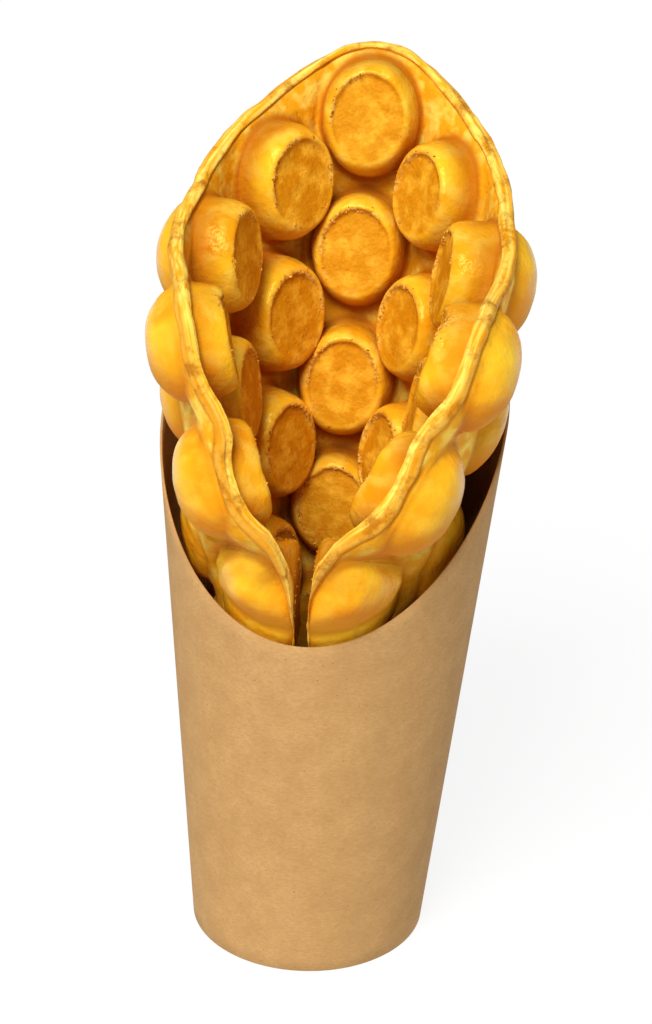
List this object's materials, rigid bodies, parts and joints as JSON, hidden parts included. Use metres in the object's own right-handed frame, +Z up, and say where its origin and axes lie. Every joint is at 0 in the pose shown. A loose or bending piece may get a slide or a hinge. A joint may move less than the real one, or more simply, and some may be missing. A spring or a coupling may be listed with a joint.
{
  "type": "bubble waffle in paper cup",
  "caption": "Bubble waffle rolled into an open cone, bubbles domed outside and flat inside, standing in a scooped kraft paper cup.",
  "frame": {"origin": "middle of the bounding box's underside, on the surface that the cup stands on", "axes": "+Z up, -Y towards the open front of the roll and the low side of the cup's rim, +X to the right seen from the front"},
  "size_m": [0.093, 0.1144, 0.2259],
  "materials": {
    "waffle_crust": "baked egg batter, golden, satin on the domes and matte on the toasted faces",
    "kraft_board": "uncoated brown kraft paperboard, matte",
    "kraft_base_board": "uncoated brown kraft paperboard, matte"
  },
  "bodies": {
    "root": {"bubble_waffle": "waffle_crust", "cup_wall": "kraft_board", "cup_base": "kraft_base_board"}
  },
  "joints": []
}
